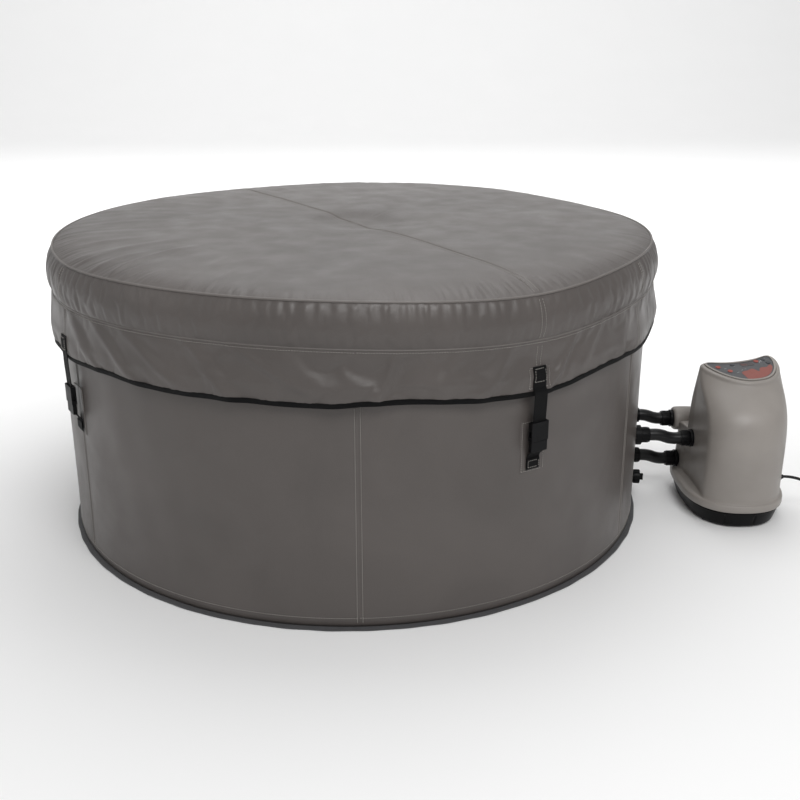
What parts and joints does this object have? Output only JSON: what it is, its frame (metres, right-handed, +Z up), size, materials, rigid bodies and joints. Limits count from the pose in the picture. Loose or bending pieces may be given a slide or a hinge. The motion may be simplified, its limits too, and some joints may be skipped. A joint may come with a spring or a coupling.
{
  "type": "inflatable hot tub",
  "caption": "Round inflatable hot tub with a padded strapped lid over its skirted wall, joined by hoses to a free-standing heater and pump unit with a tilted control panel.",
  "frame": {"origin": "centre of the round tub on the ground, under its mat", "axes": "+X from the tub's centre towards the control unit, +Z up, the front of the tub faces -Y"},
  "size_m": [2.344, 1.6428, 0.794],
  "materials": {
    "leatherette": "satin grained leatherette",
    "liner": "matte coated PVC sheet",
    "mat": "matte felted cloth",
    "piping": "satin",
    "binding": "matte woven tape",
    "webbing": "matte woven polypropylene",
    "black_plastic": "moulded, lightly textured",
    "white_plastic": "moulded",
    "hose": "semi-matte",
    "housing": "satin moulded",
    "panel": "satin membrane",
    "lens": "gloss",
    "button": "satin",
    "board": "matte solder mask",
    "motor": "satin",
    "steel": "brushed",
    "pleats": "pleated paper",
    "cord": "satin"
  },
  "bodies": {
    "tub": {"ground_mat": "mat", "outer_wall": "leatherette", "inner_wall": "liner", "top_roll": "leatherette", "floor_sheet": "liner", "wall_webs": "liner", "bubble_ring": "liner", "wall_ports": "black_plastic", "wall_locknuts": "black_plastic", "filter_housing": "white_plastic", "filter_cartridge": "pleats", "return_nozzle": "white_plastic", "drain_valve": "black_plastic", "inflation_valve": "white_plastic", "wall_patches": "leatherette", "lower_straps": "webbing", "buckle_tongues": "black_plastic", "air_hose": "hose", "suction_hose": "hose", "return_hose": "hose", "unit_base": "black_plastic", "unit_feet": "hose", "unit_housing": "housing", "unit_ports": "black_plastic", "panel_ring": "housing", "control_panel": "panel", "display_lens": "lens", "panel_board": "board", "pump_body": "motor", "blower_body": "motor", "heater": "steel", "internal_pipes": "hose", "power_cord": "cord", "safety_plug": "black_plastic", "unit_screws": "steel"},
    "lid": {"lid_cover": "leatherette", "lid_bladder": "liner", "lid_piping": "piping", "hem_binding": "binding", "upper_straps": "webbing", "buckle_sockets": "black_plastic"},
    "lid_valve_cap_body": {"lid_valve_cap": "white_plastic"},
    "tub_air_nut_body": {"tub_air_nut": "black_plastic"},
    "unit_air_nut_body": {"unit_air_nut": "black_plastic"},
    "tub_suction_nut_body": {"tub_suction_nut": "black_plastic"},
    "unit_suction_nut_body": {"unit_suction_nut": "black_plastic"},
    "tub_return_nut_body": {"tub_return_nut": "black_plastic"},
    "unit_return_nut_body": {"unit_return_nut": "black_plastic"},
    "filter_cap_body": {"filter_cap": "white_plastic"},
    "drain_cap_body": {"drain_cap": "black_plastic"},
    "drain_stopper_body": {"drain_stopper": "black_plastic"},
    "inflation_cap_body": {"inflation_cap": "white_plastic"},
    "button_power_body": {"button_power": "button"},
    "button_heat_body": {"button_heat": "button"},
    "button_filter_body": {"button_filter": "button"},
    "button_bubbles_body": {"button_bubbles": "button"},
    "button_up_body": {"button_up": "button"},
    "button_down_body": {"button_down": "button"},
    "impeller_body": {"pump_impeller": "white_plastic"},
    "fan_body": {"blower_fan": "white_plastic"}
  },
  "joints": [
    {"name": "lid_lift", "type": "slide", "parent": "tub", "child": "lid", "axis": [0, 0, 1], "range_m": [0, 0.35]},
    {"name": "lid_valve_cap_turn", "type": "hinge", "parent": "lid", "child": "lid_valve_cap_body", "pos_m": [0.45, 0, 0.656], "axis": [0, 0, -1], "range_deg": [0, 270]},
    {"name": "tub_air_nut_turn", "type": "hinge", "parent": "tub", "child": "tub_air_nut_body", "pos_m": [0.815, -0.015, 0.224], "axis": [1, 0, 0], "range_deg": [0, 720]},
    {"name": "unit_air_nut_turn", "type": "hinge", "parent": "tub", "child": "unit_air_nut_body", "pos_m": [0.909, -0.015, 0.212], "axis": [-1, 0, 0], "range_deg": [0, 720]},
    {"name": "tub_suction_nut_turn", "type": "hinge", "parent": "tub", "child": "tub_suction_nut_body", "pos_m": [0.815, -0.14, 0.21], "axis": [1, 0, 0], "range_deg": [0, 720]},
    {"name": "unit_suction_nut_turn", "type": "hinge", "parent": "tub", "child": "unit_suction_nut_body", "pos_m": [0.933, -0.14, 0.198], "axis": [-1, 0, 0], "range_deg": [0, 720]},
    {"name": "tub_return_nut_turn", "type": "hinge", "parent": "tub", "child": "tub_return_nut_body", "pos_m": [0.815, -0.052, 0.112], "axis": [1, 0, 0], "range_deg": [0, 720]},
    {"name": "unit_return_nut_turn", "type": "hinge", "parent": "tub", "child": "unit_return_nut_body", "pos_m": [0.921, -0.052, 0.1], "axis": [-1, 0, 0], "range_deg": [0, 720]},
    {"name": "filter_cap_turn", "type": "hinge", "parent": "tub", "child": "filter_cap_body", "pos_m": [0.4605, -0.14, 0.21], "axis": [-1, 0, 0], "range_deg": [0, 360]},
    {"name": "drain_cap_turn", "type": "hinge", "parent": "tub", "child": "drain_cap_body", "pos_m": [0.80497, -0.12749, 0.076], "axis": [0.9877, -0.1564, 0], "range_deg": [0, 720]},
    {"name": "drain_stopper_turn", "type": "hinge", "parent": "tub", "child": "drain_stopper_body", "pos_m": [0.58076, -0.09198, 0.076], "axis": [-0.9877, 0.1564, 0], "range_deg": [0, 180]},
    {"name": "inflation_cap_turn", "type": "hinge", "parent": "tub", "child": "inflation_cap_body", "pos_m": [0.69542, -0.4015, 0.6], "axis": [0.866, -0.5, 0], "range_deg": [0, 270]},
    {"name": "button_power_press", "type": "slide", "parent": "tub", "child": "button_power_body", "axis": [0, 0.1736, -0.9848], "range_m": [0, 0.001], "stiffness_N_per_m": 400},
    {"name": "button_heat_press", "type": "slide", "parent": "tub", "child": "button_heat_body", "axis": [0, 0.1736, -0.9848], "range_m": [0, 0.001], "stiffness_N_per_m": 400},
    {"name": "button_filter_press", "type": "slide", "parent": "tub", "child": "button_filter_body", "axis": [0, 0.1736, -0.9848], "range_m": [0, 0.001], "stiffness_N_per_m": 400},
    {"name": "button_bubbles_press", "type": "slide", "parent": "tub", "child": "button_bubbles_body", "axis": [0, 0.1736, -0.9848], "range_m": [0, 0.001], "stiffness_N_per_m": 400},
    {"name": "button_up_press", "type": "slide", "parent": "tub", "child": "button_up_body", "axis": [0, 0.1736, -0.9848], "range_m": [0, 0.001], "stiffness_N_per_m": 400},
    {"name": "button_down_press", "type": "slide", "parent": "tub", "child": "button_down_body", "axis": [0, 0.1736, -0.9848], "range_m": [0, 0.001], "stiffness_N_per_m": 400},
    {"name": "impeller_spin", "type": "hinge", "parent": "tub", "child": "impeller_body", "pos_m": [1.045, -0.165, 0.118], "axis": [0, -1, 0], "continuous": true},
    {"name": "fan_spin", "type": "hinge", "parent": "tub", "child": "fan_body", "pos_m": [1.085, -0.165, 0.292], "axis": [0, 0, 1], "continuous": true}
  ]
}
